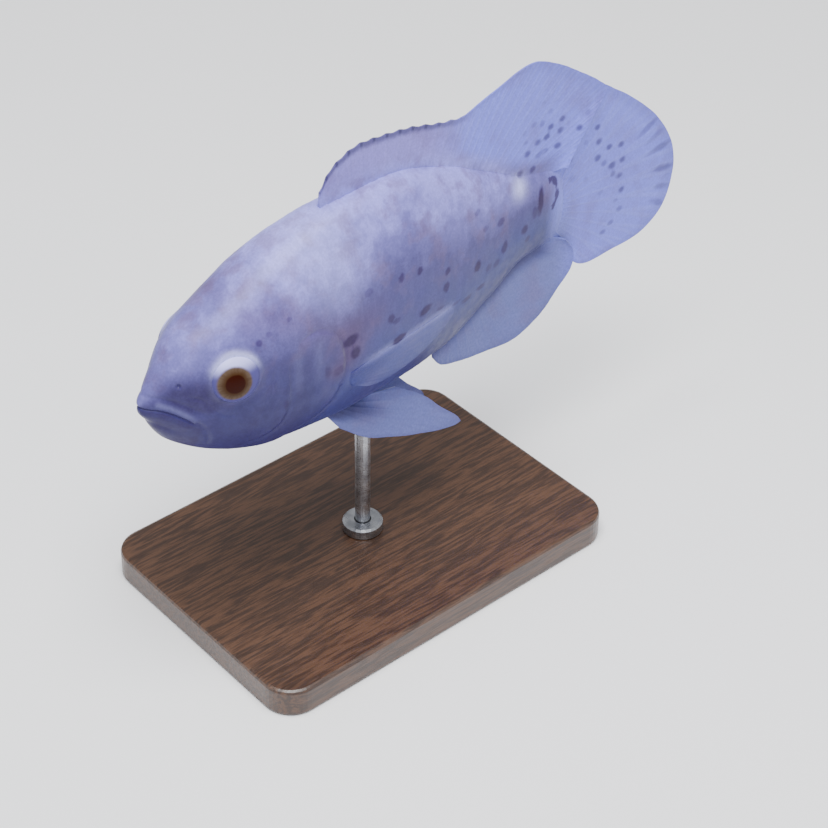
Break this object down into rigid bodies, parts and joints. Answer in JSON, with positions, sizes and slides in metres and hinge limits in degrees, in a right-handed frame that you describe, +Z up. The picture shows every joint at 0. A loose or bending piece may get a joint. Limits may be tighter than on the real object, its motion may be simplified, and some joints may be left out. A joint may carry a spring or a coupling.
{
  "type": "oscar fish display model",
  "caption": "Life-size still model of a half-grown oscar fish swimming level with fins spread, held by one short rod on a flat rectangular base",
  "frame": {"origin": "the middle of the base's flat underside, straight below the rod", "axes": "+Z is up, the snout points along -X and the tail along +X, and the fish's left side faces -Y"},
  "size_m": [0.1985, 0.084, 0.1441],
  "materials": {
    "skin": "fine overlapping scales over pale lavender-blue skin, darker under the chin, brown-black specks along the flank, slightly wet sheen",
    "fin": "thin pale periwinkle membranes between fine rays, brown specks on the dorsal lobe and tail",
    "eye": "dark brown pupil in an amber-brown iris with a pale outer ring, under a clear glossy cover",
    "stand_wood": "dark stained close-grained wood with a satin finish",
    "stand_metal": "plain brushed steel"
  },
  "bodies": {
    "root": {"head": "skin", "upper_lip": "skin", "lower_lip": "skin", "lower_jaw": "skin", "trunk": "skin", "tail_stem": "skin", "gill_cover_left": "skin", "gill_cover_right": "skin", "eye_left": "eye", "eye_right": "eye", "dorsal_fin_spines": "fin", "dorsal_fin_rays": "fin", "anal_fin": "fin", "tail_fin": "fin", "pectoral_fin_left": "fin", "pectoral_fin_right": "fin", "pelvic_fin_left": "fin", "pelvic_fin_right": "fin", "stand_base": "stand_wood", "stand_rod": "stand_metal", "stand_collar": "stand_metal"}
  },
  "joints": []
}
